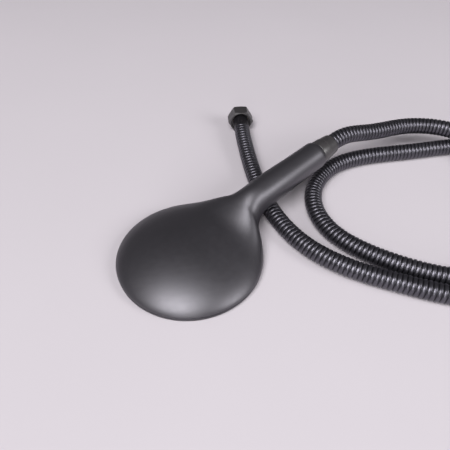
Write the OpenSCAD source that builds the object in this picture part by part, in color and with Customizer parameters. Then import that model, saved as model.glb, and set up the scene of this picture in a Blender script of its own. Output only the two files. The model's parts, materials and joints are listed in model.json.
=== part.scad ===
// Hand shower with a metal hose, lying face down.
// Origin: centre of the spray face's rim, on the surface it lies on. +X runs along the handle, +Z is up.
// Millimetres.

/* [Head] */
// Radius of the dome's edge
head_r = 63.2; // [60:0.1:68]
// Height of the dome's edge above the rest surface
edge_z = 6; // [5.5:0.1:7]
// Height of the dome above its edge
crown_h = 19.8; // [18:0.1:24]
// Wall thickness of the dome
dome_wall = 3.2; // [2.5:0.1:3.6]
// Radius of the fillet between head and handle, seen from above
neck_fillet = 20.5; // [16:0.5:28]

/* [Handle] */
// Distance from the head's centre to the end of the handle, along X
reach = 155.5; // [150:0.5:165]
// Height of the handle's axis at its end
end_z = 38; // [37:0.5:40]
// Upward tilt of the handle in degrees
tilt = 6.4; // [6:0.1:7]
// Radius of the handle at its end
handle_r = 13.1; // [12.5:0.1:14]
// Radius of the handle at the neck
neck_r = 14.1; // [13.5:0.1:15]
// Radius of the bore along the handle
handle_bore_r = 10.6; // [10.2:0.1:11]

/* [Spray face] */
// Radii of the circles of nozzles
nozzle_rings = [15, 24, 33, 42, 51]; // [14:1:52]
// Number of nozzles on each circle
nozzle_counts = [8, 13, 18, 24, 29]; // [6:1:30]
// Radius of a nozzle's water hole
jet_r = 0.5; // [0.4:0.05:0.7]

/* [Threads] */
// Radius of the bore of both nuts, the minor radius of a G1/2 thread
thread_minor_r = 9.3155; // [9.3:0.0005:9.33]
// Radius of the inlet's stub
stub_r = 9.25; // [9.2:0.01:9.25]

/* [Conical nut] */
// Length of the conical nut
cone_nut_len = 19.9; // [19.5:0.1:21]
// Radius at its wide end, next to the handle
cone_nut_r = 11.3; // [11.3:0.1:12.5]
// Radius at its narrow end, where the hose comes out
cone_nut_tail_r = 9.6; // [9.4:0.05:10]

/* [Hexagon nut] */
// Width across flats
hex_af = 24; // [24:0.5:26]
// Length of the hexagon nut
hex_len = 13.8; // [13:0.1:15]
// How far the nut slides back along its ferrule
nut_travel = 12; // [10:0.5:12.5]

/* [Hose] */
// Outer radius of the metal cover
hose_r = 8.25; // [8:0.05:8.25]
// Inner radius of the metal cover
cover_bore_r = 6.6; // [6.5:0.05:6.7]
// Outer radius of the rubber liner
liner_r = 6.1; // [5.9:0.05:6.1]
// Inner radius of the rubber liner
liner_bore_r = 4.4; // [4.2:0.05:4.5]

/* [Hidden] */
$fn = 64;

black = [0.13, 0.125, 0.135];
gunmetal = [0.3, 0.29, 0.31];
brass = [0.78, 0.62, 0.33];
steel = [0.7, 0.7, 0.72];
clear_plastic = [0.85, 0.87, 0.88];
grey_rubber = [0.35, 0.35, 0.37];

// Dome: height exponent, so that the edge turns down steeply and the top stays flat
dome_power = 0.7;
// Where the handle's ridge, shoulder line and underside leave the head, and where they reach the handle
ridge_span = [28, 76];
shoulder_span = [40, 84];
belly_span = [50, 86];
// Rounding of the handle's end: along the axis, and across it
end_round = [5, 2.2];
// Points round one cross-section of the shell
ring_n = 40;

// Spray head stack, heights above the rest surface
lip_z = 1.5;
face_t = 2;
mat_z = lip_z + face_t + 0.05;
mat_t = 1.65;
plate_z = 7.2;
plate_t = 2;
cavity_r = 60.4;
face_r = 59.3;
hub_r = 9;
cap_r = 5.3;

// Water tube: where it leaves the handle's axis, and the point on the chamber plate that it aims at
tube_r = 5.5;
tube_bore_r = 4;
elbow_r = 6.2;
elbow_x = 74;
elbow = [elbow_x, 0, axis_z(elbow_x)];
tube_foot = [27, 0, 9.2];
tube_drop = atan2(elbow[2] - tube_foot[2], elbow[0] - tube_foot[0]);
tube_run = norm(elbow - tube_foot);
tube_start = 4;

// Hexagon nut: centre of its mouth, and the heading of its axis, which points out of the hose
nut_heading = 53.5;
mouth = [169.5, 125.5, hex_af / 2];

// Handset's end of the hose: where its ferrule starts, past the handle's end, inside the conical nut
inlet_ferrule_s = 17.2;
inlet_ferrule_len = 3;

// Supply end, distances behind the hexagon nut's mouth: the tail piece's flange, the shoulder in the nut that
// it holds, and the ferrule behind it, which the nut slides back along; then the two tail pieces' stems
flange_s = 9.05;
shoulder_s = 9.7;
ferrule_s = 9.6;
ferrule_r = 8.1;
stem_r = 3.4;
stem_bore_r = 2.4;
ferrule_len = nut_travel + 5.4;

// Where the hose's cover starts and ends: at the two ferrules. It runs straight for a little way out of each.
cover_start = inlet_ferrule_s + inlet_ferrule_len + 0.05;
cover_end = ferrule_s + ferrule_len + 0.05;
straight_len = 3;
liner_end = ferrule_s + 4.5;

// Route of the hose between its fittings, a loose loop on the surface, passing over itself once
route = [
    [194, -1.2, 41.2], [208, -4.3, 39.2], [225, -9, 35.6], [246, -14, 32], [270, -21, 28.7],
    [291, -36, 27.3], [306, -59, 26.4], [314, -90, 21.5], [314, -122, 13.5], [304, -153, 8.6],
    [280, -179, 8.3], [247, -193, 8.3], [211, -194, 8.3], [177, -183, 8.3], [149, -160, 8.3],
    [129, -128, 8.3], [117, -97, 8.3], [112.5, -66, 8.3], [118.5, -41, 8.3], [135, -19, 8.3],
    [159, -5.5, 8.3], [186, -2, 8.3], [213, -9, 8.3], [240, -23, 8.3], [268, -40, 8.3],
    [298, -57, 8.3], [325, -77, 8.3], [342, -106, 8.3], [345, -140, 8.3], [334, -173, 8.3],
    [309, -199, 8.3], [273, -214, 8.3], [232, -219, 8.3], [187, -210, 8.3], [143, -182, 8.3],
    [113, -139, 8.3], [92, -98, 8.3], [83, -58, 8.3], [88, -17, 8.3], [107, 29, 8.3],
    [134, 75, 10]
];

// ---------- functions ----------

// Smooth step from 0 at a to 1 at b, level at both ends
function smooth(a, b, x) = let (t = min(max((x - a) / (b - a), 0), 1)) t * t * t * (t * (6 * t - 15) + 10);
function mix(a, b, t) = a * (1 - t) + b * t;
function unit(v) = v / norm(v);

// Height of the handle's axis above the surface at x
function axis_z(x) = end_z - (reach - x) * tan(tilt);
// Radius of the handle at x, with its rounded end
function handle_radius(x) =
    let (r = mix(neck_r, handle_r, smooth(85, 150, x)), e = max(x - reach + end_round[0], 0) / end_round[0])
    r - end_round[1] * (1 - sqrt(max(1 - e * e, 0)));
// Half width of the shell at x: the head's circle, a tangent fillet, then the handle
function half_width(x) =
    let (r = handle_radius(x), f = neck_fillet, xf = sqrt(pow(head_r + f, 2) - pow(neck_r + f, 2)),
        xt = xf * head_r / (head_r + f))
    x <= xt ? sqrt(head_r * head_r - x * x) : x < xf ? r + f - sqrt(f * f - pow(xf - x, 2)) : r;
function shoulder_z(x) = mix(edge_z, axis_z(x), smooth(shoulder_span[0], shoulder_span[1], x));
function belly_z(x) =
    mix(edge_z - 0.8, axis_z(x) - handle_radius(x), smooth(belly_span[0], belly_span[1], x));
function ridge_z(x) =
    let (fall = x < 0 ? pow(1 - pow(x / head_r, 2), dome_power) : 1)
    mix(edge_z + crown_h * fall, axis_z(x) + handle_radius(x), smooth(ridge_span[0], ridge_span[1], x));
// One point of the shell's cross-section at x, at angle a from the +Y side over the top
function shell_point(x, a) =
    let (power = mix(2 * dome_power, 1, smooth(ridge_span[0], ridge_span[1], x)), s = shoulder_z(x),
        rise = sin(a) >= 0 ? (ridge_z(x) - s) * pow(sin(a), power) : (s - belly_z(x)) * sin(a),
        lean = tilt * smooth(60, 110, x), off = s + rise - axis_z(x))
    [x - off * sin(lean), half_width(x) * cos(a), axis_z(x) + off * cos(lean)];

// Stations along the shell: closer together at the head's front, the neck and the rounded end
function stations() = concat(
    [for (a = [4:6:88]) -head_r * cos(a)], [for (x = [0:6:54]) x], [for (x = [57:3:90]) x],
    [for (x = [100:12:148]) x], [for (a = [0:15:90]) reach - end_round[0] * (1 - sin(a))]);

// Triangles that join rings of n points in order, all rings being stacked in one list
function side_faces(rings, n, flip = false) = [for (i = [0:rings - 2], j = [0:n - 1])
    let (k = (j + 1) % n, a = i * n + j, b = i * n + k, c = a + n, d = b + n)
    each flip ? [[c, d, a], [d, b, a]] : [[a, d, c], [a, b, d]]];

// Ring of n points round a centre, square to the direction along
function ring_at(centre, along, r, n) =
    let (side = unit(cross(along, [0, 0, 1])), up = cross(side, along))
    [for (j = [0:n - 1]) centre + r * (cos(360 * j / n) * side + sin(360 * j / n) * up)];
function along_path(p, i) = unit(p[min(i + 1, len(p) - 1)] - p[max(i - 1, 0)]);

// Points on the axes of the handle and the hexagon nut
function on_handle(s) = [reach + s * cos(tilt), 0, end_z + s * sin(tilt)];
function on_supply(s) = mouth + s * [cos(nut_heading), sin(nut_heading), 0];

cover_path = concat([on_handle(cover_start), on_handle(cover_start + straight_len)], route,
    [on_supply(-cover_end - straight_len), on_supply(-cover_end)]);
liner_path = concat(cover_path, [on_supply(-liner_end)]);

// ---------- placing ----------

// Along the handle's axis: local Z runs out of the handle's end
module at_handle(s = 0) {
    translate([reach, 0, end_z]) rotate([0, 90 - tilt, 0]) translate([0, 0, s]) children();
}

// Along the hexagon nut's axis: local Z runs out of its mouth
module at_supply(s = 0) {
    translate(mouth) rotate([0, 0, nut_heading]) rotate([0, 90, 0]) translate([0, 0, s]) children();
}

// Along the lower run of the water tube: local Z runs from the chamber plate up to the elbow
module at_tube_foot(s = 0) {
    translate(tube_foot) rotate([0, 90 - tube_drop, 0]) translate([0, 0, s]) children();
}

// Ring with a bore, standing on z = 0
module sleeve(r, bore, h) {
    difference() {
        cylinder(r = r, h = h);
        translate([0, 0, -1]) cylinder(r = bore, h = h + 2);
    }
}

module o_ring(major, minor) {
    rotate_extrude() translate([major, 0]) circle(r = minor, $fn = 24);
}

module nozzle_places() {
    for (i = [0:len(nozzle_rings) - 1], j = [0:nozzle_counts[i] - 1])
        rotate([0, 0, 360 * (j + i / 2) / nozzle_counts[i]]) translate([nozzle_rings[i], 0, 0]) children();
}

// Tube with a bore along a path of points
module hollow_tube(path, r, bore, n) {
    count = len(path);
    inner = count * n;
    last = (count - 1) * n;
    outer_points = [for (i = [0:count - 1]) each ring_at(path[i], along_path(path, i), r, n)];
    inner_points = [for (i = [0:count - 1]) each ring_at(path[i], along_path(path, i), bore, n)];
    inner_faces = [for (f = side_faces(count, n, true)) [for (v = f) v + inner]];
    first_end = [for (j = [0:n - 1]) let (k = (j + 1) % n) [k, j, inner + j, inner + k]];
    last_end = [for (f = first_end) [for (i = [3:-1:0]) f[i] + last]];
    polyhedron(points = concat(outer_points, inner_points),
        faces = concat(side_faces(count, n), inner_faces, first_end, last_end), convexity = 8);
}

// ---------- head and handle ----------

module shell_skin() {
    xs = stations();
    count = len(xs);
    points = [for (x = xs, j = [0:ring_n - 1]) shell_point(x, 360 * j / ring_n)];
    polyhedron(points = points, convexity = 6, faces = concat(side_faces(count, ring_n, true),
        [[for (j = [0:ring_n - 1]) j]], [[for (j = [0:ring_n - 1]) count * ring_n - 1 - j]]));
}

// Space under the dome, open downwards
module head_cavity() {
    top = crown_h + edge_z - dome_wall;
    foot = edge_z + 1.5;
    rotate_extrude() polygon(concat([[0, 2], [cavity_r, 2]],
        [for (a = [0:9:81]) [cavity_r * cos(a), foot + (top - foot) * pow(sin(a), 2 * dome_power)]],
        [[0, top]]));
}

module back_shell() {
    boss_z = plate_z + plate_t + 0.1;
    color(black) difference() {
        union() {
            difference() {
                shell_skin();
                head_cavity();
                at_tube_foot(3) cylinder(r = 8.9, h = tube_run);
            }
            // boss for the centre screw
            translate([0, 0, boss_z]) cylinder(r = 5, h = edge_z + crown_h - boss_z - 1.5);
        }
        translate([0, 0, boss_z - 1]) cylinder(r = 1.7, h = 11);
        at_handle(-87) cylinder(r = handle_bore_r, h = 90);
    }
}

module trim_ring() {
    // undercut outside, so that the ring stands on a narrow foot, with a flange up into the shell
    color(black) rotate_extrude() polygon([
        [57, 0], [61.6, 0], [62.7, 2], [62.9, 3.4], [62.5, 4.3], [60.2, 4.3], [60.2, 6.9], [59.5, 6.9],
        [59.5, lip_z], [57, lip_z]]);
}

module faceplate() {
    hub_z = mat_z + mat_t + 1.9;
    color(black) difference() {
        union() {
            translate([0, 0, lip_z]) cylinder(r = face_r, h = face_t);
            translate([0, 0, lip_z]) cylinder(r = hub_r, h = hub_z - lip_z);
        }
        cylinder(r = cap_r + 0.1, h = 4.6);
        cylinder(r = 2.3, h = 20);
        translate([0, 0, 1]) nozzle_places() cylinder(r = 1.8, h = 5);
    }
}

module nozzle_mat() {
    color(grey_rubber) difference() {
        union() {
            translate([0, 0, mat_z]) cylinder(r = face_r - 0.8, h = mat_t);
            translate([0, 0, 0.7]) nozzle_places() cylinder(r1 = 1.1, r2 = 1.7, h = mat_z - 0.6);
        }
        translate([0, 0, mat_z - 1]) cylinder(r = hub_r + 0.2, h = 5);
        nozzle_places() cylinder(r = jet_r, h = 10);
    }
}

module chamber_plate() {
    wall_z = mat_z + mat_t + 0.05;
    color(black) difference() {
        union() {
            translate([0, 0, plate_z]) cylinder(r = 58.3, h = plate_t);
            translate([0, 0, wall_z]) sleeve(58.3, 56.3, plate_z - wall_z + 0.5);
            difference() {
                at_tube_foot(-6) cylinder(r = 8.2, h = 22);
                translate([0, 0, -20]) cube([200, 200, 2 * (20 + plate_z)], center = true);
            }
        }
        at_tube_foot(tube_start - 0.5) cylinder(r = tube_r + 0.1, h = 30);
        at_tube_foot(-14) cylinder(r = tube_bore_r, h = 30);
        at_tube_foot(13.5) cylinder(r = 7.3, h = 10);
        cylinder(r = 2.3, h = 20);
        translate([0, 0, seal_z()]) o_ring(58.6, 0.9);
    }
}

function seal_z() = plate_z + plate_t / 2 - 0.9;

module chamber_seal() {
    color(grey_rubber) translate([0, 0, seal_z()]) o_ring(58.6, 0.85);
}

module centre_screw() {
    color(steel) union() {
        translate([0, 0, 2.9]) difference() {
            cylinder(r = 4.2, h = 1.65);
            translate([-0.5, -3, -1]) cube([1, 6, 1.8]);
            translate([-3, -0.5, -1]) cube([6, 1, 1.8]);
        }
        translate([0, 0, 4.5]) cylinder(r = 1.65, h = 12.5);
    }
}

module screw_cap() {
    color(black) translate([0, 0, lip_z - 0.2]) union() {
        cylinder(r = cap_r, h = 0.9);
        sleeve(cap_r, cap_r - 0.9, 1.4);
    }
}

module water_tube() {
    // straight run inside the handle, from the elbow to the inlet's socket
    upper = norm(on_handle(-18.2) - elbow);
    color(clear_plastic) difference() {
        union() {
            at_handle(-18.2 - upper) cylinder(r = tube_r, h = upper);
            at_tube_foot(tube_start) cylinder(r = tube_r, h = tube_run - tube_start);
            translate(elbow) sphere(r = elbow_r);
        }
        at_handle(-18.2 - upper) cylinder(r = tube_bore_r, h = upper + 1);
        at_tube_foot(-1) cylinder(r = tube_bore_r, h = tube_run + 1);
        translate(elbow) sphere(r = tube_bore_r + 0.3);
    }
}

module tube_seals() {
    color(grey_rubber) union() {
        at_tube_foot(14.7) o_ring(6.4, 0.85);
        at_handle(-24.7) o_ring(6.4, 0.85);
    }
}

// ---------- inlet ----------

module inlet_connector() {
    color(brass) difference() {
        union() {
            at_handle(-26) cylinder(r = handle_bore_r - 0.1, h = 26);
            at_handle(-1) cylinder(r = stub_r, h = 9.6);
        }
        at_handle(-12) cylinder(r = 7, h = 30);
        at_handle(-20) cylinder(r = tube_bore_r, h = 20);
        at_handle(-27) cylinder(r = tube_r + 0.1, h = 9);
        at_handle(-27) cylinder(r = 7.3, h = 3.5);
    }
}

module flow_restrictor() {
    color(clear_plastic) difference() {
        at_handle(3) cylinder(r = 6.9, h = 2.5);
        for (a = [0:60:300]) at_handle(0) rotate([0, 0, a]) translate([4, 0, 0]) cylinder(r = 1, h = 8);
    }
}

module valve_body() {
    color(clear_plastic) difference() {
        at_handle(-11.5) cylinder(r = 6.9, h = 13.5);
        at_handle(-9.2) cylinder(r = 5.2, h = 8.2);
        at_handle(-5) cylinder(r = 3.6, h = 12);
        at_handle(-15) cylinder(r = 1.25, h = 12);
        for (a = [0:90:270]) at_handle(-15) rotate([0, 0, a]) translate([3.3, 0, 0])
            cylinder(r = 1.1, h = 8);
    }
}

module valve_poppet() {
    color(grey_rubber) union() {
        at_handle(-3.2) cylinder(r = 4.6, h = 2.1);
        at_handle(-11) cylinder(r = 1.2, h = 8);
    }
}

module valve_spring() {
    turns = 4;
    steps = 12 * turns;
    rise = 5.5;
    n = 6;
    helix = [for (i = [0:steps]) let (a = 360 * turns * i / steps)
        [2.3 * cos(a), 2.3 * sin(a), 0.4 + (rise - 0.8) * i / steps]];
    // frame of a helix that climbs along local Z: outwards, and square to outwards and the wire
    points = [for (i = [0:steps]) let (a = 360 * turns * i / steps, out = [cos(a), sin(a), 0],
        wire = along_path(helix, i), up = cross(wire, out))
        for (j = [0:n - 1]) helix[i] + 0.35 * (cos(360 * j / n) * out + sin(360 * j / n) * up)];
    color(steel) at_handle(-9.0) polyhedron(points = points, convexity = 6,
        faces = concat(side_faces(steps + 1, n), [[for (j = [n - 1:-1:0]) j]],
            [[for (j = [0:n - 1]) steps * n + j]]));
}

module filter_washer() {
    color(grey_rubber) difference() {
        union() {
            at_handle(8.6) sleeve(9.2, 6, 2);
            at_handle(9.2) cylinder(r = 6.2, h = 0.5);
        }
        for (a = [0:60:300], r = [2, 4]) at_handle(8) rotate([0, 0, a + 15 * r]) translate([r, 0, 0])
            cylinder(r = 0.7, h = 4);
    }
}

// ---------- hose and its fittings ----------

module cone_nut() {
    // fine step round the nut, half way along
    step_s = 8.7;
    color(black) at_handle(0.3) difference() {
        rotate_extrude() polygon([
            [0, 0], [cone_nut_r - 0.3, 0], [cone_nut_r, 0.3], [cone_nut_r - 0.05, 5],
            [cone_nut_r - 0.45, step_s], [cone_nut_r - 0.7, step_s + 0.2],
            [cone_nut_tail_r, cone_nut_len - 1.4], [cone_nut_tail_r - 0.25, cone_nut_len - 0.5],
            [cone_nut_tail_r - 0.7, cone_nut_len], [0, cone_nut_len]]);
        translate([0, 0, -1]) cylinder(r = thread_minor_r, h = 13.15);
        translate([0, 0, 10]) cylinder(r = 6.7, h = 30);
        translate([0, 0, inlet_ferrule_s - 0.8]) cylinder(r = hose_r + 0.25, h = 30);
    }
}

module handset_insert() {
    stem_s = inlet_ferrule_s - 0.5;
    color(brass) difference() {
        union() {
            at_handle(10.6) cylinder(r = 9.1, h = 1.75);
            at_handle(12) cylinder(r = 6.3, h = inlet_ferrule_s - 12);
            at_handle(stem_s) cylinder(r = stem_r, h = 9);
        }
        at_handle(10) cylinder(r = stem_bore_r, h = 30);
    }
}

module handset_ferrule() {
    color(gunmetal) at_handle(inlet_ferrule_s) sleeve(hose_r - 0.05, stem_r + 0.1, inlet_ferrule_len);
}

module hose_cover() {
    color(gunmetal) hollow_tube(cover_path, hose_r, cover_bore_r, 12);
}

module hose_liner() {
    color(grey_rubber) hollow_tube(liner_path, liner_r, liner_bore_r, 12);
}

module supply_ferrule() {
    color(gunmetal) difference() {
        at_supply(-ferrule_s - ferrule_len) cylinder(r = ferrule_r, h = ferrule_len);
        at_supply(-liner_end - ferrule_len) cylinder(r = liner_r + 0.2, h = ferrule_len + 0.1);
        at_supply(-ferrule_s - 15) cylinder(r = stem_r + 0.1, h = 20);
    }
}

module supply_insert() {
    color(brass) difference() {
        union() {
            at_supply(-flange_s) cylinder(r = 9.2, h = 1.35);
            at_supply(-ferrule_s) cylinder(r = 6.6, h = 1);
            at_supply(-32) cylinder(r = stem_r, h = 32 - flange_s);
        }
        at_supply(-40) cylinder(r = stem_bore_r, h = 40);
    }
}

// Plastic ring between the nut's shoulder and the tail piece's flange, which lets the nut turn freely
module slip_ring() {
    color(black) at_supply(-shoulder_s + 0.05) sleeve(9.6, ferrule_r + 0.15, 0.55);
}

module hex_nut() {
    color(black) difference() {
        intersection() {
            at_supply(-hex_len) rotate([0, 0, 30]) cylinder(r = hex_af / 2 / cos(30), h = hex_len, $fn = 6);
            // chamfered corners at both ends
            at_supply(-hex_len) rotate_extrude() polygon([[0, 0], [12.4, 0], [13.9, 0.9],
                [13.9, hex_len - 0.9], [12.4, hex_len], [0, hex_len]]);
        }
        // recess round the ferrule, hole through the shoulder, relief behind the thread, thread, lead-in
        at_supply(-hex_len - 1) cylinder(r = 10.8, h = hex_len - shoulder_s - 0.1);
        at_supply(-hex_len - 1) cylinder(r = ferrule_r + 0.3, h = 6);
        at_supply(-shoulder_s) cylinder(r = 9.9, h = 3.6);
        at_supply(-7) cylinder(r = thread_minor_r, h = 10);
        at_supply(-0.8) cylinder(r1 = thread_minor_r, r2 = 10.4, h = 0.81);
    }
}

module supply_washer() {
    color(grey_rubber) at_supply(-flange_s + 1.4) sleeve(9.1, 4.6, 1.5);
}

back_shell();
trim_ring();
faceplate();
nozzle_mat();
chamber_plate();
chamber_seal();
centre_screw();
screw_cap();
water_tube();
tube_seals();
inlet_connector();
flow_restrictor();
valve_body();
valve_poppet();
valve_spring();
filter_washer();
cone_nut();
handset_insert();
handset_ferrule();
hose_cover();
hose_liner();
supply_ferrule();
supply_insert();
slip_ring();
hex_nut();
supply_washer();
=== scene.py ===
"""Looks of the hand shower with its metal hose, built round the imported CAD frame. Metres, +Z up."""

import json
import math

import bmesh
import bpy
import numpy as np
from mathutils import Matrix, Vector


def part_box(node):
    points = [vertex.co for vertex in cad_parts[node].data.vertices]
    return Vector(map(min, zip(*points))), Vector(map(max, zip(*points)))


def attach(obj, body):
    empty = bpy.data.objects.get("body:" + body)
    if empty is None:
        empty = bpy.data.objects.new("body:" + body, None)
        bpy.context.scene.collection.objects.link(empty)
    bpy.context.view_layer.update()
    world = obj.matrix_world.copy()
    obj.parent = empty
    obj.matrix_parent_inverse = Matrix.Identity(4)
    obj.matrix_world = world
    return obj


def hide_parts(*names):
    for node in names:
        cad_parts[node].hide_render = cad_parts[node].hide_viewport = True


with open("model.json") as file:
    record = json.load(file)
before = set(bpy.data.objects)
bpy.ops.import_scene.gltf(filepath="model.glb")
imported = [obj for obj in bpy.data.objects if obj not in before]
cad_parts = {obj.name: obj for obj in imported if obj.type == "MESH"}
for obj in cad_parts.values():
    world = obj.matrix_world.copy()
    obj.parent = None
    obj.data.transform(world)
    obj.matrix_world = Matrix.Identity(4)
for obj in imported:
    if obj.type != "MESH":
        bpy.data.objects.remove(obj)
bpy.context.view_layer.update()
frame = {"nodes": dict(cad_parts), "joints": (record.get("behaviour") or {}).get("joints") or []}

MM = 0.001
JOINTS = {joint["name"]: joint for joint in frame["joints"]}

# Handle: the conical nut's joint lies on its axis. NUT_JOINT is how far past the handle's end that point is.
NUT_JOINT = 10 * MM
ALONG = Vector(JOINTS["cone_nut_turn"]["axis"]).normalized()
HANDLE_END = Vector(JOINTS["cone_nut_turn"]["pos_m"]) - NUT_JOINT * ALONG

# Free end: HEX_JOINT is how far the hexagon nut's joint is behind its mouth
HEX_JOINT = 6 * MM
OUT = Vector(JOINTS["hex_nut_turn"]["axis"]).normalized()
MOUTH = Vector(JOINTS["hex_nut_turn"]["pos_m"]) + HEX_JOINT * OUT


def on_handle(s):
    """Point on the handle's axis, s mm past its end."""
    return HANDLE_END + s * MM * ALONG


def on_supply(s):
    """Point on the free end's axis, s mm past the hexagon nut's mouth."""
    return MOUTH + s * MM * OUT


def placed(point, axis, up=(0, 0, 1)):
    """Matrix whose local Z runs along axis from point, with local X as near to up as can be."""
    z = Vector(axis).normalized()
    x = (Vector(up) - Vector(up).dot(z) * z).normalized()
    turn = Matrix((x, z.cross(x), z)).transposed()
    return Matrix.Translation(point) @ turn.to_4x4()


# ---------------------------------------------------------------- camera

CAMERA_PLACE = (-0.15474, -0.22693, 0.3272)
CAMERA_HEADING = 49.4  # degrees from +X
CAMERA_PITCH = 46  # degrees below the horizon
CAMERA_LENS = 39.12


def make_camera():
    data = bpy.data.cameras.new("camera")
    data.lens = CAMERA_LENS
    data.sensor_width = 36
    data.clip_start = 0.02
    data.clip_end = 50
    camera = bpy.data.objects.new("camera", data)
    camera.location = CAMERA_PLACE
    camera.rotation_euler = (math.radians(90 - CAMERA_PITCH), 0, math.radians(CAMERA_HEADING - 90))
    bpy.context.scene.collection.objects.link(camera)
    bpy.context.scene.camera = camera


# ---------------------------------------------------------------- mesh tools


def mesh_object(name, points, faces, finish, wear_and_painted_light=None, matrix=None, sharp=35):
    """New mesh piece from points in metres. Its per-point mask is 1 on worn edges, on a painted highlight
    line and on the hose's crests, and 0 in the hose's grooves, which are painted as shade.
    """
    mesh = bpy.data.meshes.new(name)
    mesh.from_pydata([tuple(p) for p in points], [], [tuple(f) for f in faces])
    if matrix is not None:
        mesh.transform(matrix)
    layer = mesh.attributes.new("wear_and_painted_light", "FLOAT", "POINT")
    if wear_and_painted_light is not None:
        layer.data.foreach_set("value", np.asarray(wear_and_painted_light, np.float32))
    mesh.validate()
    mesh.shade_smooth()
    mesh.set_sharp_from_angle(angle=math.radians(sharp))
    mesh.materials.append(finish)
    piece = bpy.data.objects.new(name, mesh)
    bpy.context.scene.collection.objects.link(piece)
    return piece


def stand_in(piece, body, slot, *nodes):
    """Piece rides on body and stands for those CAD nodes, which it hides. slot is not used."""
    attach(piece, body)
    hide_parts(*nodes)
    return piece


def rounded(corners, default=0.3, steps=4):
    """Closed outline with round corners, and for each of its points the edge wear there, which on the
    conical nut's step is also a painted highlight line.

    A corner is (x, y), (x, y, radius) or (x, y, radius, share of wear). On the axis x = 0 it stays sharp."""
    points, wear_and_painted_light = [], []
    count = len(corners)
    for i, corner in enumerate(corners):
        here = Vector(corner[:2])
        radius = corner[2] if len(corner) > 2 else default
        share = corner[3] if len(corner) > 3 else 1
        to_last = Vector(corners[i - 1][:2]) - here
        to_next = Vector(corners[(i + 1) % count][:2]) - here
        opening = to_last.angle(to_next)
        if radius <= 0 or here.x <= 0 or opening > math.radians(176):
            points.append(here)
            wear_and_painted_light.append(0)
            continue
        reach = min(radius / math.tan(opening / 2), 0.45 * to_last.length, 0.45 * to_next.length)
        start = here + reach * to_last.normalized()
        end = here + reach * to_next.normalized()
        outer = to_last.x * to_next.y - to_last.y * to_next.x
        for k in range(steps + 1):
            t = k / steps
            points.append((1 - t) ** 2 * start + 2 * t * (1 - t) * here + t * t * end)
            wear_and_painted_light.append(share * math.sin(math.pi * t) if outer < 0 else 0)
    return points, wear_and_painted_light


def lathe(name, corners, finish, matrix=None, segments=128, default=0.3, steps=4, ripple=None):
    """Solid of revolution about local Z. The closed outline is in mm, counter-clockwise, with x as radius.

    ripple(angle, x, y) may give back another radius, for knurls, dents and grooves."""
    outline, wear_and_painted_light_at = rounded(corners, default, steps)
    points, wear_and_painted_light, rings = [], [], []
    for (x, y), worn_and_painted_highlight in zip(outline, wear_and_painted_light_at):
        if x <= 0:
            rings.append([len(points)])
            points.append((0, 0, y * MM))
            wear_and_painted_light.append(0)
            continue
        rings.append(list(range(len(points), len(points) + segments)))
        for k in range(segments):
            angle = math.tau * k / segments
            r = ripple(angle, x, y) if ripple else x
            points.append((r * MM * math.cos(angle), r * MM * math.sin(angle), y * MM))
            wear_and_painted_light.append(worn_and_painted_highlight)
    faces = []
    for i, ring in enumerate(rings):
        after = rings[(i + 1) % len(rings)]
        for k in range(segments):
            m = (k + 1) % segments
            if len(ring) > 1 and len(after) > 1:
                faces.append((ring[k], ring[m], after[m], after[k]))
            elif len(ring) > 1:
                faces.append((ring[k], ring[m], after[0]))
            elif len(after) > 1:
                faces.append((ring[0], after[m], after[k]))
    return mesh_object(name, points, faces, finish, wear_and_painted_light, matrix)


def cut(piece, tool, operation="DIFFERENCE"):
    """Applies a boolean with another piece, which is then deleted."""
    modifier = piece.modifiers.new("cut", "BOOLEAN")
    modifier.operation = operation
    modifier.solver = "EXACT"
    modifier.object = tool
    bpy.context.view_layer.update()
    evaluated = piece.evaluated_get(bpy.context.evaluated_depsgraph_get())
    mesh = bpy.data.meshes.new_from_object(evaluated)
    piece.modifiers.clear()
    old = piece.data
    piece.data = mesh
    bpy.data.meshes.remove(old)
    bpy.data.objects.remove(tool)
    return piece


def sharpen(piece, degrees=35):
    piece.data.shade_smooth()
    piece.data.set_sharp_from_angle(angle=math.radians(degrees))
    return piece


# ---------------------------------------------------------------- materials


def new_material(name):
    """New material with its nodes, its links and its Principled shader."""
    made = bpy.data.materials.new(name)
    made.use_nodes = True
    nodes = made.node_tree.nodes
    return made, nodes, made.node_tree.links, nodes["Principled BSDF"]


def noise(nodes, links, place, scale, detail=3, rough=0.5):
    node = nodes.new("ShaderNodeTexNoise")
    node.inputs["Scale"].default_value = scale
    node.inputs["Detail"].default_value = detail
    node.inputs["Roughness"].default_value = rough
    links.new(place, node.inputs["Vector"])
    return node.outputs["Fac"]


def spread(nodes, links, value, low, high, start=0.3, end=0.7):
    """Value between start and end becomes low to high."""
    node = nodes.new("ShaderNodeMapRange")
    node.inputs["From Min"].default_value = start
    node.inputs["From Max"].default_value = end
    node.inputs["To Min"].default_value = low
    node.inputs["To Max"].default_value = high
    links.new(value, node.inputs["Value"])
    return node.outputs["Result"]


def blend_colour(nodes, links, share, first, second):
    node = nodes.new("ShaderNodeMix")
    node.data_type = "RGBA"
    links.new(share, node.inputs["Factor"])
    for value, socket in ((first, node.inputs["A"]), (second, node.inputs["B"])):
        if isinstance(value, bpy.types.NodeSocket):
            links.new(value, socket)
        else:
            socket.default_value = (*value, 1)
    return node.outputs["Result"]


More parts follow.
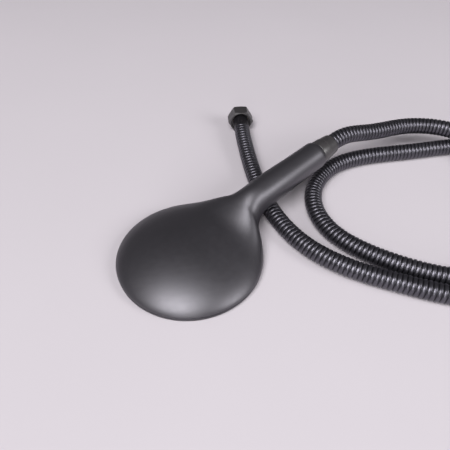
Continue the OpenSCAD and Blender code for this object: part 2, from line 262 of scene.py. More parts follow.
def surface(name, dark, light, rough, metallic=0.0, mottle=70, grain=2600, depth=0.02, worn_and_painted_highlight=None, **sockets):
    """Moulded, coated or metal surface.

    Its colour is mottled between dark and light, and its roughness varies between the two values of rough.
    It has a grain of bumps depth mm deep, and the worn colour where the per-point mask is 1: edge wear,
    which on the conical nut's step is also a painted highlight line."""
    made, nodes, links, shader = new_material(name)
    place = nodes.new("ShaderNodeTexCoord").outputs["Object"]
    broad = noise(nodes, links, place, mottle, 4, 0.6)
    colour = blend_colour(nodes, links, spread(nodes, links, broad, 0, 1), dark, light)
    fine = noise(nodes, links, place, grain, 2, 0.6)
    if worn_and_painted_highlight is not None:
        edge = nodes.new("ShaderNodeAttribute")
        edge.attribute_name = "wear_and_painted_light"
        patchy = nodes.new("ShaderNodeMath")
        patchy.operation = "MULTIPLY"
        links.new(edge.outputs["Fac"], patchy.inputs[0])
        scattered = spread(nodes, links, noise(nodes, links, place, 9 * mottle, 3), 0.15, 1)
        links.new(scattered, patchy.inputs[1])
        colour = blend_colour(nodes, links, patchy.outputs["Value"], colour, worn_and_painted_highlight)
    links.new(colour, shader.inputs["Base Color"])
    middling = noise(nodes, links, place, 5 * mottle, 3, 0.6)
    links.new(spread(nodes, links, middling, rough[0], rough[1]), shader.inputs["Roughness"])
    bump = nodes.new("ShaderNodeBump")
    bump.inputs["Distance"].default_value = depth * MM
    bump.inputs["Strength"].default_value = 1
    links.new(fine, bump.inputs["Height"])
    links.new(bump.outputs["Normal"], shader.inputs["Normal"])
    shader.inputs["Metallic"].default_value = metallic
    for socket, value in sockets.items():
        shader.inputs[socket.replace("_", " ")].default_value = value
    return made


SHELL_BLACK = surface("shell_black", (0.009, 0.0083, 0.0101), (0.012, 0.011, 0.0135), (0.43, 0.47),
    mottle=45, grain=3200, depth=0.012, worn_and_painted_highlight=(0.045, 0.043, 0.05),
    IOR=2.2, Specular_Tint=(0.94, 0.92, 1, 1))
FACE_BLACK = surface("face_black", (0.013, 0.012, 0.0145), (0.018, 0.017, 0.02), (0.36, 0.42),
    mottle=90, grain=3000, depth=0.012, worn_and_painted_highlight=(0.05, 0.047, 0.054),
    IOR=1.7, Specular_Tint=(0.94, 0.91, 1, 1))
# The worn colour of this finish shows only on the conical nut's step: worn coat and a painted highlight
# line.
NUT_BLACK = surface("nut_black", (0.020, 0.018, 0.020), (0.032, 0.029, 0.031), (0.38, 0.46),
    mottle=160, grain=2400, depth=0.02, worn_and_painted_highlight=(0.42, 0.39, 0.37), IOR=2.0)
FERRULE_BLACK = surface("ferrule_black", (0.032, 0.03, 0.035), (0.05, 0.047, 0.054), (0.34, 0.44),
    metallic=0.8, mottle=200, grain=2400, depth=0.02, worn_and_painted_highlight=(0.3, 0.29, 0.3))
SILICONE = surface("nozzle_silicone", (0.045, 0.045, 0.048), (0.065, 0.065, 0.068), (0.5, 0.62),
    mottle=140, grain=1800, depth=0.03, worn_and_painted_highlight=(0.1, 0.1, 0.1))
INNER_PLASTIC = surface("inner_plastic", (0.05, 0.05, 0.054), (0.075, 0.075, 0.08), (0.45, 0.6),
    mottle=60, grain=1500, depth=0.04)
CLEAR_PLASTIC = surface("clear_plastic", (0.72, 0.75, 0.75), (0.84, 0.86, 0.86), (0.22, 0.34),
    mottle=80, grain=1200, depth=0.02)
RUBBER = surface("seal_rubber", (0.02, 0.02, 0.02), (0.04, 0.04, 0.041), (0.55, 0.72),
    mottle=160, grain=1600, depth=0.05)
STEEL = surface("stainless", (0.52, 0.52, 0.54), (0.66, 0.66, 0.68), (0.22, 0.36),
    metallic=1.0, mottle=300, grain=2500, depth=0.01, worn_and_painted_highlight=(0.8, 0.8, 0.8))
BRASS = surface("brass", (0.56, 0.41, 0.19), (0.74, 0.57, 0.29), (0.2, 0.34),
    metallic=1.0, mottle=220, grain=1800, depth=0.015, worn_and_painted_highlight=(0.86, 0.72, 0.42))


def hose_finish():
    """Black coated metal strip: its crests are pale and smooth, its grooves painted near black as shade."""
    made, nodes, links, shader = new_material("hose_metal")
    place = nodes.new("ShaderNodeTexCoord").outputs["Object"]
    crest = nodes.new("ShaderNodeAttribute")
    crest.attribute_name = "wear_and_painted_light"
    broad = noise(nodes, links, place, 90, 4, 0.6)
    black = blend_colour(nodes, links, spread(nodes, links, broad, 0, 1),
        (0.1, 0.097, 0.114), (0.135, 0.131, 0.153))
    # Painted shade: in the grooves, where the crest mask is 0, the colour is near black.
    colour = blend_colour(nodes, links, crest.outputs["Fac"], (0.01, 0.01, 0.012), black)
    links.new(colour, shader.inputs["Base Color"])
    middling = noise(nodes, links, place, 700, 3, 0.6)
    links.new(spread(nodes, links, middling, 0.28, 0.4), shader.inputs["Roughness"])
    bump = nodes.new("ShaderNodeBump")
    bump.inputs["Distance"].default_value = 0.02 * MM
    links.new(noise(nodes, links, place, 2600, 2), bump.inputs["Height"])
    links.new(bump.outputs["Normal"], shader.inputs["Normal"])
    shader.inputs["Metallic"].default_value = 0.9
    return made


HOSE_METAL = hose_finish()


# ---------------------------------------------------------------- hose

# Route of the hose between its fittings, the same points as the CAD part's, in mm
ROUTE = [
    (194, -1.2, 41.2), (208, -4.3, 39.2), (225, -9, 35.6), (246, -14, 32), (270, -21, 28.7),
    (291, -36, 27.3), (306, -59, 26.4), (314, -90, 21.5), (314, -122, 13.5), (304, -153, 8.6),
    (280, -179, 8.3), (247, -193, 8.3), (211, -194, 8.3), (177, -183, 8.3), (149, -160, 8.3),
    (129, -128, 8.3), (117, -97, 8.3), (112.5, -66, 8.3), (118.5, -41, 8.3), (135, -19, 8.3),
    (159, -5.5, 8.3), (186, -2, 8.3), (213, -9, 8.3), (240, -23, 8.3), (268, -40, 8.3),
    (298, -57, 8.3), (325, -77, 8.3), (342, -106, 8.3), (345, -140, 8.3), (334, -173, 8.3),
    (309, -199, 8.3), (273, -214, 8.3), (232, -219, 8.3), (187, -210, 8.3), (143, -182, 8.3),
    (113, -139, 8.3), (92, -98, 8.3), (83, -58, 8.3), (88, -17, 8.3), (107, 29, 8.3),
    (134, 75, 10),
]
COVER_START = 20.25  # mm past the handle's end
COVER_END = 27.05  # mm behind the hexagon nut's mouth
STRAIGHT = 3.0  # mm of straight hose out of each fitting
LINER_END = 14.1  # mm behind the hexagon nut's mouth
SAMPLE_STEP = 0.25  # mm between the points of the line
HOSE_R = 8.25
COVER_BORE_R = 6.6
LINER_R = 6.1
LINER_BORE_R = 4.4
GROOVE_R = 7.45
RIB_PITCH = 4.0
# One rib of the strip, as (share of the pitch, radius): a thin lip in the groove, then the broad crest
RIB = [(0.0, 7.72), (0.07, GROOVE_R), (0.14, 7.86), (0.23, 8.13), (0.4, HOSE_R), (0.6, HOSE_R),
    (0.77, 8.13), (0.86, 7.86), (0.93, GROOVE_R)]


def spline(points, start_way, end_way):
    """Cubic spline through points, as a close line of points, that leaves and arrives in the given ways."""
    p = np.array([tuple(q) for q in points], float)
    h = np.linalg.norm(np.diff(p, axis=0), axis=1)
    n = len(p)
    a = np.zeros((n, n))
    rhs = np.zeros((n, 3))
    a[0, 0] = a[-1, -1] = 1
    rhs[0], rhs[-1] = start_way, end_way
    for i in range(1, n - 1):
        a[i, i - 1] = h[i]
        a[i, i] = 2 * (h[i - 1] + h[i])
        a[i, i + 1] = h[i - 1]
        rhs[i] = 3 * (h[i] / h[i - 1] * (p[i] - p[i - 1]) + h[i - 1] / h[i] * (p[i + 1] - p[i]))
    m = np.linalg.solve(a, rhs)
    line = []
    for i in range(n - 1):
        count = max(2, int(h[i] / SAMPLE_STEP))
        t = (np.arange(count) / count)[:, None]
        line.append((2 * t**3 - 3 * t**2 + 1) * p[i] + (t**3 - 2 * t**2 + t) * h[i] * m[i]
            + (3 * t**2 - 2 * t**3) * p[i + 1] + (t**3 - t**2) * h[i] * m[i + 1])
    return np.vstack([*line, p[-1:]])


class Path:
    """A line of close points, with its length and a frame that doesn't twist about it."""

    def __init__(self, line):
        self.line = line
        steps = np.linalg.norm(np.diff(line, axis=0), axis=1)
        self.at = np.concatenate([[0], np.cumsum(steps)])
        self.length = self.at[-1]
        way = np.gradient(line, axis=0)
        self.way = way / np.linalg.norm(way, axis=1)[:, None]
        side = np.cross(self.way[0], (0, 0, 1))
        sides = []
        for w in self.way:
            side = side - side.dot(w) * w
            side = side / np.linalg.norm(side)
            sides.append(side)
        self.side = np.array(sides)

    def frame_at(self, s):
        """Points, sideways and upward directions at distances s along the line."""
        def between(table):
            return np.stack([np.interp(s, self.at, table[:, i]) for i in range(3)], axis=-1)
        way = between(self.way)
        way /= np.linalg.norm(way, axis=-1)[..., None]
        side = between(self.side)
        side -= (side * way).sum(-1)[..., None] * way
        side /= np.linalg.norm(side, axis=-1)[..., None]
        return between(self.line), side, np.cross(side, way)


def hose_path(last):
    """The hose's centreline, in mm: from the handset's ferrule to last mm behind the nut's mouth."""
    points = [on_handle(COVER_START) / MM, on_handle(COVER_START + STRAIGHT) / MM, *ROUTE,
        on_supply(-COVER_END - STRAIGHT) / MM, on_supply(-COVER_END) / MM]
    if last < COVER_END:
        points.append(on_supply(-last) / MM)
    line = spline(points, ALONG, OUT)
    line[:, 2] = np.maximum(line[:, 2], HOSE_R + 0.02)
    return Path(line)


def grid_faces(rows, columns, first=0, flip=False, shift=0):
    """Quads of a tube of rows rings. Once round moves shift rings on, as on the thread of a screw."""
    faces = []
    for i in range(rows - 1):
        for j in range(columns):
            wrap = shift if j == columns - 1 else 0
            k = (j + 1) % columns
            if i + wrap + 1 >= rows:
                continue
            a, b = first + i * columns + j, first + (i + wrap) * columns + k
            quad = (a, b, b + columns, a + columns)
            faces.append(quad[::-1] if flip else quad)
    return faces


def tube_points(path, s, radius, columns, lead=0.0):
    """Rings of points at distances s, each point moved on by up to lead once round; radius per ring."""
    turn = np.arange(columns) / columns
    at = np.clip(s[:, None] + lead * turn[None, :], 0, path.length)
    centre, side, up = path.frame_at(at)
    angle = math.tau * turn[None, :, None]
    return (centre + radius[:, None, None] * (np.cos(angle) * side + np.sin(angle) * up)).reshape(-1, 3)


def make_hose():
    """Cover: a helical interlocked strip with a smooth bore. Liner: a plain rubber hose inside it."""
    path = hose_path(COVER_END)
    columns = 28
    ribs = int(path.length / RIB_PITCH) + 2
    s = np.array([(i - 1 + share) * RIB_PITCH for i in range(ribs) for share, _ in RIB])
    radius = np.array([r for _ in range(ribs) for _, r in RIB])
    outer = tube_points(path, s, radius, columns, RIB_PITCH)
    faces = grid_faces(len(s), columns, shift=len(RIB))
    inner_s = np.linspace(0, path.length, int(path.length / 9))
    inner = tube_points(path, inner_s, np.full(len(inner_s), COVER_BORE_R), columns)
    faces += grid_faces(len(inner_s), columns, first=len(outer), flip=True)
    # Crest mask: 1 on the crests, 0 in the grooves, where the hose's finish paints shade.
    crest = (np.repeat(radius, columns) - GROOVE_R) / (HOSE_R - GROOVE_R)
    wear_and_painted_light = np.concatenate([np.clip(1.4 * crest, 0, 1), np.zeros(len(inner))])
    skins = np.vstack([outer, inner]) * MM
    cover = mesh_object("hose_ribbed_cover", skins, faces, HOSE_METAL, wear_and_painted_light, sharp=180)
    close_ends(cover)
    stand_in(cover, "handset", "hose_metal", "hose_cover")

    lining = hose_path(LINER_END)
    s = np.linspace(0, lining.length, int(lining.length / 6))
    rings = [tube_points(lining, s, np.full(len(s), r), 20) for r in (LINER_R, LINER_BORE_R)]
    faces = grid_faces(len(s), 20) + grid_faces(len(s), 20, first=len(rings[0]), flip=True)
    liner = mesh_object("hose_rubber_liner", np.vstack(rings) * MM, faces, RUBBER, sharp=50)
    close_ends(liner)
    stand_in(liner, "handset", "seal_rubber", "hose_liner")
    return path, cover, liner


def close_ends(piece):
    """Drops faces that the ends squeezed flat, then joins the two skins by a ring at each end."""
    bm = bmesh.new()
    bm.from_mesh(piece.data)
    bmesh.ops.remove_doubles(bm, verts=bm.verts, dist=1e-7)
    bmesh.ops.dissolve_degenerate(bm, edges=bm.edges, dist=1e-7)
    loose = [v for v in bm.verts if not v.link_faces]
    bmesh.ops.delete(bm, geom=loose, context="VERTS")
    open_edges = [e for e in bm.edges if e.is_boundary]
    start = open_edges[0].verts[0].co.copy()
    end_size = 4 * HOSE_R * MM  # wider than an end, and much less than the way to the other one
    near = [e for e in open_edges if (e.verts[0].co - start).length < end_size]
    far = [e for e in open_edges if e not in set(near)]
    for edges in (near, far):
        bmesh.ops.bridge_loops(bm, edges=edges)
    bmesh.ops.recalc_face_normals(bm, faces=bm.faces)
    bm.to_mesh(piece.data)
    bm.free()


make_camera()
HOSE_PATH, HOSE, LINER = make_hose()
print("hose length", HOSE_PATH.length)


# ---------------------------------------------------------------- handset shell

low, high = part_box("back_shell")
HEAD_R = (high.y - low.y) / 2 / MM
EDGE_Z = 6.0
CROWN_H = 19.8
DOME_WALL = 3.2
DOME_POWER = 0.7
NECK_FILLET = 20.5
REACH = HANDLE_END.x / MM
END_Z = HANDLE_END.z / MM
TILT = math.asin(ALONG.z)
HANDLE_R = 13.1
NECK_R = 14.1
HANDLE_BORE_R = 10.6
CAVITY_R = 60.4
RIDGE_SPAN = (28, 76)
SHOULDER_SPAN = (40, 84)
BELLY_SPAN = (50, 86)
END_ROUND = (5, 2.2)


def smooth(a, b, x):
    t = min(max((x - a) / (b - a), 0), 1)
    return t * t * t * (t * (6 * t - 15) + 10)


def mix(a, b, t):
    return a * (1 - t) + b * t


def axis_z(x):
    return END_Z - (REACH - x) * math.tan(TILT)


def handle_radius(x):
    r = mix(NECK_R, HANDLE_R, smooth(85, 150, x))
    past = max(x - REACH + END_ROUND[0], 0) / END_ROUND[0]
    return r - END_ROUND[1] * (1 - math.sqrt(max(1 - past * past, 0)))


def half_width(x):
    """Half width of the shell: the head's circle, a tangent fillet, then the handle."""
    r = handle_radius(x)
    meet = math.sqrt((HEAD_R + NECK_FILLET) ** 2 - (NECK_R + NECK_FILLET) ** 2)
    if x <= meet * HEAD_R / (HEAD_R + NECK_FILLET):
        return math.sqrt(HEAD_R * HEAD_R - x * x)
    if x < meet:
        return r + NECK_FILLET - math.sqrt(NECK_FILLET**2 - (meet - x) ** 2)
    return r


def shell_point(x, a):
    """Point of the cross-section at x, which is 0 or more, at angle a from the +Y side over the top."""
    power = mix(2 * DOME_POWER, 1, smooth(*RIDGE_SPAN, x))
    s = mix(EDGE_Z, axis_z(x), smooth(*SHOULDER_SPAN, x))
    if math.sin(a) >= 0:
        ridge = mix(EDGE_Z + CROWN_H, axis_z(x) + handle_radius(x), smooth(*RIDGE_SPAN, x))
        rise = (ridge - s) * math.sin(a) ** power
    else:
        belly = mix(EDGE_Z - 0.8, axis_z(x) - handle_radius(x), smooth(*BELLY_SPAN, x))
        rise = (s - belly) * math.sin(a)
    lean = TILT * smooth(60, 110, x)
    off = s + rise - axis_z(x)
    return x - off * math.sin(lean), half_width(x) * math.cos(a), axis_z(x) + off * math.cos(lean)


def shell_skin():
    """Closed outer skin.

    Behind x = 0 cross-sections follow the handle. In front of it the dome turns about the centre."""
    around = 144
    quarter = around // 4
    stations = [0.8 * i for i in range(100)] + [80 + 2.5 * i for i in range(28)]
    stations = [x for x in stations if x < REACH - END_ROUND[0] - 1]
    stations += [REACH - END_ROUND[0] * (1 - math.sin(math.radians(7.5 * i))) for i in range(13)]
    points = [shell_point(x, math.tau * j / around) for x in stations for j in range(around)]
    faces = []
    for i in range(len(stations) - 1):
        for j in range(around):
            a, b = i * around + j, i * around + (j + 1) % around
            faces.append((a, b, b + around, a + around))
    last = (len(stations) - 1) * around
    faces.append(tuple(last + j for j in range(around)))
    # front half: turned copies of the first section's +Y profile, from the bottom pole to the top pole
    profile = [(3 * quarter + k) % around for k in range(2 * quarter + 1)]
    mirrored = [(3 * quarter - k) % around for k in range(2 * quarter + 1)]
    sectors = 96
    columns = [profile]
    for i in range(1, sectors):
        turn = math.pi * i / sectors
        column = [profile[0]]
        for k in profile[1:-1]:
            x, y, z = points[k]
            column.append(len(points))
            points.append((-y * math.sin(turn), y * math.cos(turn), z))
        columns.append(column + [profile[-1]])
    columns.append(mirrored)
    for here, after in zip(columns, columns[1:]):
        faces.append((here[0], here[1], after[1]))
        for k in range(1, 2 * quarter - 1):
            faces.append((here[k], here[k + 1], after[k + 1], after[k]))
        faces.append((here[-2], here[-1], after[-2]))
    return points, faces


def make_shell():
    points, faces = shell_skin()
    shell = mesh_object("dome_shell_and_handle", np.array(points) * MM, faces, SHELL_BLACK)
    bm = bmesh.new()
    bm.from_mesh(shell.data)
    bmesh.ops.recalc_face_normals(bm, faces=bm.faces)
    bm.to_mesh(shell.data)
    bm.free()
    # hollow of the head, round the centre screw's boss
    top = CROWN_H + EDGE_Z - DOME_WALL
    foot = EDGE_Z + 1.5
    boss = 9.3
    roof = [(CAVITY_R * math.cos(math.radians(a)),
        foot + (top - foot) * math.sin(math.radians(a)) ** (2 * DOME_POWER), 0) for a in range(0, 85, 4)]
    hollow = [(0, 2, 0), (CAVITY_R, 2, 0), *roof, (5, top - 0.1, 0), (5, boss, 0), (0, boss, 0)]
    cut(shell, lathe("hollow", hollow, SHELL_BLACK, segments=160))
    # bore of the handle
    bore = [(0, -87, 0), (HANDLE_BORE_R, -87, 0), (HANDLE_BORE_R, 3, 0), (0, 3, 0)]
    cut(shell, lathe("bore", bore, SHELL_BLACK, placed(HANDLE_END, ALONG), segments=96))
    sharpen(shell, 40)
    return stand_in(shell, "handset", "shell_black", "back_shell")


make_shell()


# ---------------------------------------------------------------- spray face

LIP_Z = 1.5
FACE_T = 2.0
MAT_Z = LIP_Z + FACE_T + 0.05
MAT_T = 1.65
FACE_R = 59.3
CAP_R = 5.3
HUB_R = 9.0
NOZZLE_RINGS = [15, 24, 33, 42, 51]
NOZZLE_COUNTS = [8, 13, 18, 24, 29]
JET_R = 0.5


def nozzle_places():
    """Centres of the nozzles, in mm."""
    return [(r * math.cos(a), r * math.sin(a))
        for i, (r, count) in enumerate(zip(NOZZLE_RINGS, NOZZLE_COUNTS))
        for a in (math.tau * (j + i / 2) / count for j in range(count))]


def circle_of_vertices(bm, centre, r, z, count):
    """New vertices on a level circle, given in mm."""
    cx, cy = centre
    angles = [math.tau * k / count for k in range(count)]
    return [bm.verts.new(((cx + r * math.cos(a)) * MM, (cy + r * math.sin(a)) * MM, z * MM)) for a in angles]


def plate_with_holes(name, finish, r_outer, r_inner, holes, hole_r, z_low, z_high, edge):
    """Round plate pierced by a centre hole and small holes, with every edge rounded by edge mm."""
    bm = bmesh.new()
    loops = [((0, 0), r_outer, 256, 1), ((0, 0), r_inner, 64, -1)]
    loops += [(hole, hole_r, 20, -1) for hole in holes]
    levels = []
    for z, facing in ((z_low, -1), (z_high, 1)):
        level = []
        for centre, r, count, outer in loops:
            level.append(circle_of_vertices(bm, centre, r - outer * edge, z, count))
        rims = []
        for ring in level:
            rims += [bm.edges.new((ring[k], ring[(k + 1) % len(ring)])) for k in range(len(ring))]
        bmesh.ops.triangle_fill(bm, use_beauty=True, use_dissolve=False, edges=rims, normal=(0, 0, facing))
        levels.append(level)
    # rounded walls between the two levels
    steps = ((0.3, z_low + 0.3 * edge), (0, z_low + edge), (0, z_high - edge), (0.3, z_high - 0.3 * edge))
    for i, (centre, r, count, outer) in enumerate(loops):
        rings = [levels[0][i]]
        for inset, z in steps:
            rings.append(circle_of_vertices(bm, centre, r - outer * edge * inset, z, count))
        rings.append(levels[1][i])
        for a, b in zip(rings, rings[1:]):
            for k in range(count):
                m = (k + 1) % count
                bm.faces.new((a[k], a[m], b[m], b[k]))
    bmesh.ops.recalc_face_normals(bm, faces=bm.faces)
    mesh = bpy.data.meshes.new(name)
    bm.to_mesh(mesh)
    bm.free()
    mesh.attributes.new("wear_and_painted_light", "FLOAT", "POINT")
    mesh.shade_smooth()
    mesh.set_sharp_from_angle(angle=math.radians(30))
    mesh.materials.append(finish)
    piece = bpy.data.objects.new(name, mesh)
    bpy.context.scene.collection.objects.link(piece)
    return piece


def joined(name, pieces):
    """One piece from several, which all take the first piece's material."""
    first = pieces[0]
    bm = bmesh.new()
    wear_and_painted_light = []
    for piece in pieces:
        copy = piece.data.copy()
        copy.transform(piece.matrix_world)
        bm.from_mesh(copy)
        values = np.zeros(len(copy.vertices), np.float32)
        copy.attributes["wear_and_painted_light"].data.foreach_get("value", values)
        wear_and_painted_light.append(values)
        bpy.data.meshes.remove(copy)
    mesh = bpy.data.meshes.new(name)
    bm.to_mesh(mesh)
    bm.free()
    mesh.attributes["wear_and_painted_light"].data.foreach_set("value", np.concatenate(wear_and_painted_light))
    mesh.materials.append(first.data.materials[0])
    mesh.shade_smooth()
    mesh.set_sharp_from_angle(angle=math.radians(35))
    for piece in pieces:
        bpy.data.objects.remove(piece)
    made = bpy.data.objects.new(name, mesh)
    bpy.context.scene.collection.objects.link(made)
    return made


def make_face():
    ring = lathe("rim_trim_ring", [
        (57, 0, 0.4), (61.6, 0, 0.3), (62.7, 2, 0.5), (62.9, 3.4, 0.8), (62.5, 4.3, 0.4),
        (60.2, 4.3, 0.1), (60.2, 6.9, 0.2), (59.5, 6.9, 0.2), (59.5, LIP_Z, 0.1), (57, LIP_Z, 0.3)],
        FACE_BLACK, segments=256)
    stand_in(ring, "handset", "face_black", "trim_ring")

    places = nozzle_places()
    face = plate_with_holes("spray_faceplate", FACE_BLACK, FACE_R, CAP_R + 0.1, places, 1.8,
        LIP_Z, LIP_Z + FACE_T, 0.25)
    hub = lathe("hub", [
        (CAP_R + 0.1, LIP_Z + 0.4, 0), (HUB_R - 0.4, LIP_Z + 0.4, 0), (HUB_R - 0.4, 7, 0), (2.4, 7, 0),
        (2.4, 4.6, 0), (CAP_R + 0.1, 4.6, 0)], FACE_BLACK, segments=64)
    face = joined("spray_faceplate_with_hub", [face, hub])
    stand_in(face, "handset", "face_black", "faceplate")

    jet_top = MAT_Z + 0.2
    jet_outline = [
        (JET_R, 0.85, 0), (0.75, 0.7, 0.12), (1.12, 0.8, 0.25), (1.3, 2.2, 0.3), (1.66, 3.2, 0.3),
        (1.72, jet_top, 0), (JET_R, jet_top, 0)]
    jets = []
    for x, y in places:
        at = Matrix.Translation((x * MM, y * MM, 0))
        jets.append(lathe("jet", jet_outline, SILICONE, at, segments=24, steps=2))
    base = plate_with_holes("mat", SILICONE, FACE_R - 0.8, HUB_R + 0.2, places, JET_R,
        MAT_Z, MAT_Z + MAT_T, 0.1)
    mat = joined("nozzle_silicone_mat", [base, *jets])
    stand_in(mat, "handset", "nozzle_silicone", "nozzle_mat")

    def notch(angle, x, y):
        on_edge = x > CAP_R - 0.6 and y < LIP_Z
        return x - 0.5 * math.exp(-((angle - math.pi) / 0.16) ** 2) if on_edge else x
    cap = lathe("centre_screw_cap", [
        (0, LIP_Z - 0.2, 0), (CAP_R, LIP_Z - 0.2, 0.3), (CAP_R, LIP_Z + 1.2, 0.1),
        (CAP_R - 0.9, LIP_Z + 1.2, 0.1), (CAP_R - 0.9, LIP_Z + 0.7, 0), (0, LIP_Z + 0.7, 0)],
        FACE_BLACK, segments=96, ripple=notch)
    stand_in(cap, "handset", "face_black", "screw_cap")


make_face()


# ---------------------------------------------------------------- nuts and fittings

THREAD_MINOR_R = 9.3155
THREAD_PITCH = 1.814
CONE_NUT_R = 11.3
CONE_NUT_TAIL_R = 9.6
CONE_NUT_LEN = 19.9
CONE_NUT_STEP = 8.7  # mm from the nut's wide end
CONE_NUT_GAP = 0.3  # mm between the handle's end and the nut
CONE_THREAD_LEN = 12.15
STEM_HOLE_R = 6.7
INLET_FERRULE_S = 17.2
INLET_FERRULE_LEN = 3.0
HEX_AF = 24.0
HEX_LEN = 13.8
FLANGE_S = 9.05
SHOULDER_S = 9.7
FERRULE_S = 9.6
FERRULE_R = 8.1
STEM_R = 3.4
STEM_BORE_R = 2.4
STEM_START = 32  # mm behind the hexagon nut's mouth
RECESS_R = 10.8
RECESS_WALL = 1.1


def make_cone_nut():
    """Turned conical nut: a fine step round it part way, worn and painted as a bright highlight line, and a
    rounded tail over the hose.
    """
    r, tail, step = CONE_NUT_R, CONE_NUT_TAIL_R, CONE_NUT_STEP
    seat = INLET_FERRULE_S - 0.8
    # Only the step's corner takes the worn colour: worn coat, and a painted highlight line round the nut.
    nut = lathe("hose_cone_nut", [
        (THREAD_MINOR_R, 0, 0.3, 0), (r, 0, 0.4, 0), (r - 0.05, 5, 0), (r - 0.38, step - 0.35, 0.5, 0),
        (r - 0.42, step, 0.3), (r - 0.72, step + 0.2, 0.05),
        (tail, CONE_NUT_LEN - 1.2, 0.8, 0), (tail - 0.7, CONE_NUT_LEN, 0.5, 0),
        (HOSE_R + 0.25, CONE_NUT_LEN, 0.1), (HOSE_R + 0.25, seat, 0), (STEM_HOLE_R, seat, 0),
        (STEM_HOLE_R, CONE_THREAD_LEN, 0), (THREAD_MINOR_R, CONE_THREAD_LEN, 0)],
        NUT_BLACK, placed(on_handle(CONE_NUT_GAP), ALONG), segments=192, steps=4)
    stand_in(nut, "nut", "nut_black", "cone_nut")

    outer, inner = HOSE_R - 0.05, STEM_R + 0.1
    ferrule = lathe("hose_ferrule_handset", [
        (inner, 0, 0), (outer, 0, 0.2), (outer, 1.2, 0.2), (HOSE_R - 0.3, 1.6, 0.2), (outer, 2.0, 0.2),
        (outer, INLET_FERRULE_LEN, 0.2), (inner, INLET_FERRULE_LEN, 0)],
        FERRULE_BLACK, placed(on_handle(INLET_FERRULE_S), ALONG), segments=96)
    stand_in(ferrule, "handset", "hose_metal", "handset_ferrule")


def make_hex_nut():
    """Hexagon nut: chamfered at both ends, open at the rear round the ferrule, threaded at the mouth."""
    half = HEX_AF / 2
    corners = half / math.cos(math.radians(30))
    at_rear = placed(on_supply(-HEX_LEN), OUT)
    blank = lathe("hose_hex_nut", [(0, 0, 0), (corners, 0, 0), (corners, HEX_LEN, 0), (0, HEX_LEN, 0)],
        NUT_BLACK, at_rear @ Matrix.Rotation(math.radians(30), 4, "Z"), segments=6)
    envelope = lathe("envelope", [
        (0, 0, 0), (11.3, 0, 0.3), (13.0, 0.75, 0.25), (14.4, 1.55, 0), (14.4, HEX_LEN - 1.55, 0),
        (13.0, HEX_LEN - 0.75, 0.25), (11.3, HEX_LEN, 0.3), (0, HEX_LEN, 0)],
        NUT_BLACK, at_rear, segments=192)
    nut = cut(blank, envelope, "INTERSECT")

    # the bore's thread, between the relief behind it and the lead-in at the mouth
    thread_start = HEX_LEN - 6.1
    thread_end = HEX_LEN - 0.8

    def thread(angle, x, y):
        if not (x < 9.6 and thread_start < y < thread_end):
            return x
        wave = 0.5 + 0.5 * math.cos(math.tau * (y / THREAD_PITCH - angle / math.tau))
        fade = smooth(thread_start, thread_start + 0.6, y) * (1 - smooth(thread_end - 0.7, thread_end, y))
        return x + 0.95 * wave * fade
    count = 27
    turns = [(THREAD_MINOR_R, mix(thread_start, thread_end, i / count), 0) for i in range(count + 1)]
    relief = HEX_LEN - SHOULDER_S
    recess = relief - RECESS_WALL
    hole = FERRULE_R + 0.3
    bore = lathe("bore", [
        (0, -1, 0), (RECESS_R, -1, 0), (RECESS_R, recess, 0.3), (hole, recess, 0.15), (hole, relief, 0),
        (9.9, relief, 0), (9.9, thread_start - 0.1, 0), *turns, (10.4, HEX_LEN, 0),
        (11.4, HEX_LEN + 1, 0), (0, HEX_LEN + 1, 0)],
        NUT_BLACK, at_rear, segments=96, ripple=thread)
    cut(nut, bore)
    nut.data.attributes["wear_and_painted_light"].data.foreach_set("value", np.zeros(len(nut.data.vertices), np.float32))
    sharpen(nut, 28)
    stand_in(nut, "hexagon", "nut_black", "hex_nut")

    def crimp(angle, x, y):
        on_band = x > FERRULE_R - 0.2 and 2.5 < y < 4.5
        return x - 0.12 * (0.5 + 0.5 * math.cos(12 * angle)) if on_band else x
    r, length = FERRULE_R, COVER_END - 0.05 - FERRULE_S
    inner, socket = STEM_R + 0.1, length - 4.4
    ferrule = lathe("hose_ferrule_supply", [
        (LINER_R + 0.2, 0, 0), (r - 0.2, 0, 0.2), (r, 0.8, 0.3), (r, 2.4, 0.1), (r - 0.15, 2.8, 0.2),
        (r - 0.15, 4.2, 0.2), (r, 4.6, 0.1), (r, length, 0.2), (inner, length, 0), (inner, socket, 0),
        (LINER_R + 0.2, socket, 0)],
        FERRULE_BLACK, placed(on_supply(-FERRULE_S - length), OUT), segments=120, ripple=crimp)
    stand_in(ferrule, "handset", "hose_metal", "supply_ferrule")

    at_mouth = placed(MOUTH, OUT)
    flange_end = -FLANGE_S + 1.35
    insert = lathe("supply_tail_piece", [
        (STEM_BORE_R, -STEM_START, 0.2), (STEM_R, -STEM_START, 0.2), (STEM_R, -FERRULE_S, 0),
        (6.6, -FERRULE_S, 0), (6.6, -FLANGE_S, 0), (9.2, -FLANGE_S, 0.25), (9.2, flange_end, 0.25),
        (STEM_BORE_R, flange_end, 0.4)],
        BRASS, at_mouth, segments=96)
    stand_in(insert, "handset", "brass", "supply_insert")

    near, far = -FLANGE_S + 1.4, -FLANGE_S + 2.9
    washer = lathe("supply_rubber_washer", [
        (4.6, near, 0.3), (9.1, near, 0.3), (9.1, far, 0.35), (4.6, far, 0.35)],
        RUBBER, at_mouth, segments=96)
    stand_in(washer, "handset", "seal_rubber", "supply_washer")


make_cone_nut()
make_hex_nut()

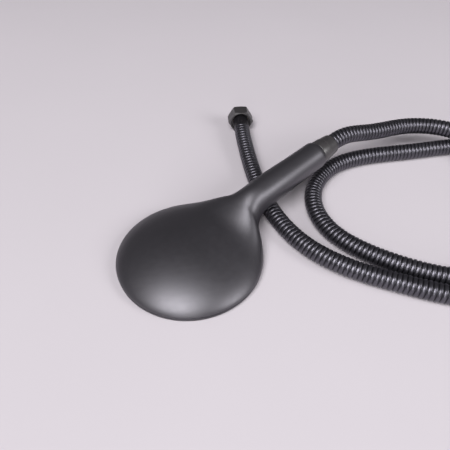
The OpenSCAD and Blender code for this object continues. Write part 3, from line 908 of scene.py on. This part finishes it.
# What stays hidden inside keeps its CAD shape, with a better material
CARRIED = {
    "chamber_plate": INNER_PLASTIC,
    "chamber_seal": RUBBER,
    "centre_screw": STEEL,
    "water_tube": CLEAR_PLASTIC,
    "tube_seals": RUBBER,
    "inlet_connector": BRASS,
    "flow_restrictor": CLEAR_PLASTIC,
    "valve_body": CLEAR_PLASTIC,
    "valve_poppet": RUBBER,
    "valve_spring": STEEL,
    "filter_washer": RUBBER,
    "handset_insert": BRASS,
    "slip_ring": INNER_PLASTIC,
}
for node, finish in CARRIED.items():
    mesh = frame["nodes"][node].data
    mesh.materials.clear()
    mesh.materials.append(finish)


# ---------------------------------------------------------------- floor, light

def floor_finish():
    """Pale, slightly pink matt board with a faint unevenness."""
    made, nodes, links, shader = new_material("floor")
    place = nodes.new("ShaderNodeTexCoord").outputs["Object"]
    broad = noise(nodes, links, place, 3, 3, 0.5)
    shade = spread(nodes, links, broad, 0, 1)
    colour = blend_colour(nodes, links, shade, (0.63, 0.594, 0.634), (0.648, 0.611, 0.652))
    links.new(colour, shader.inputs["Base Color"])
    shader.inputs["Roughness"].default_value = 0.75
    shader.inputs["Specular IOR Level"].default_value = 0.2
    return made


def make_stage():
    size = 6
    floor = mesh_object("floor", [(-size, -size, 0), (size, -size, 0), (size, size, 0), (-size, size, 0)],
        [(0, 1, 2, 3)], floor_finish())
    make_world(0.1)
    centre = Vector((0.1, 0, 0.02))
    away = 3.5
    softbox("key", centre, (-0.52, -0.22, 0.83), away, 2.2, 8.2)
    softbox("low", centre, (-0.70, -0.64, 0.30), away, 1.3, 3)
    softbox("right", centre, (0.30, -0.80, 0.52), away, 1.5, 7)


def make_world(strength):
    """Dim surroundings, so that black surfaces stay black, and a pale backdrop past the floor's edge."""
    world = bpy.data.worlds.new("studio")
    bpy.context.scene.world = world
    world.use_nodes = True
    nodes = world.node_tree.nodes
    links = world.node_tree.links
    dim = nodes["Background"]
    dim.inputs["Color"].default_value = (0.93, 0.9, 0.95, 1)
    dim.inputs["Strength"].default_value = strength
    pale = nodes.new("ShaderNodeBackground")
    pale.inputs["Color"].default_value = (0.76, 0.715, 0.765, 1)
    both = nodes.new("ShaderNodeMixShader")
    links.new(nodes.new("ShaderNodeLightPath").outputs["Is Camera Ray"], both.inputs["Fac"])
    links.new(dim.outputs["Background"], both.inputs[1])
    links.new(pale.outputs["Background"], both.inputs[2])
    links.new(both.outputs["Shader"], nodes["World Output"].inputs["Surface"])


def softbox(name, target, direction, distance, size, radiance):
    """Square light of the given side, in metres, that faces target from a direction."""
    data = bpy.data.lights.new(name, "AREA")
    data.shape = "SQUARE"
    data.size = size
    data.energy = radiance * math.pi * size * size
    data.color = (1, 0.985, 0.99)
    light = bpy.data.objects.new(name, data)
    way = Vector(direction).normalized()
    light.location = target + distance * way
    light.rotation_mode = "QUATERNION"
    light.rotation_quaternion = way.to_track_quat("Z", "Y")
    bpy.context.scene.collection.objects.link(light)


make_stage()
bpy.context.scene.view_settings.view_transform = "Standard"
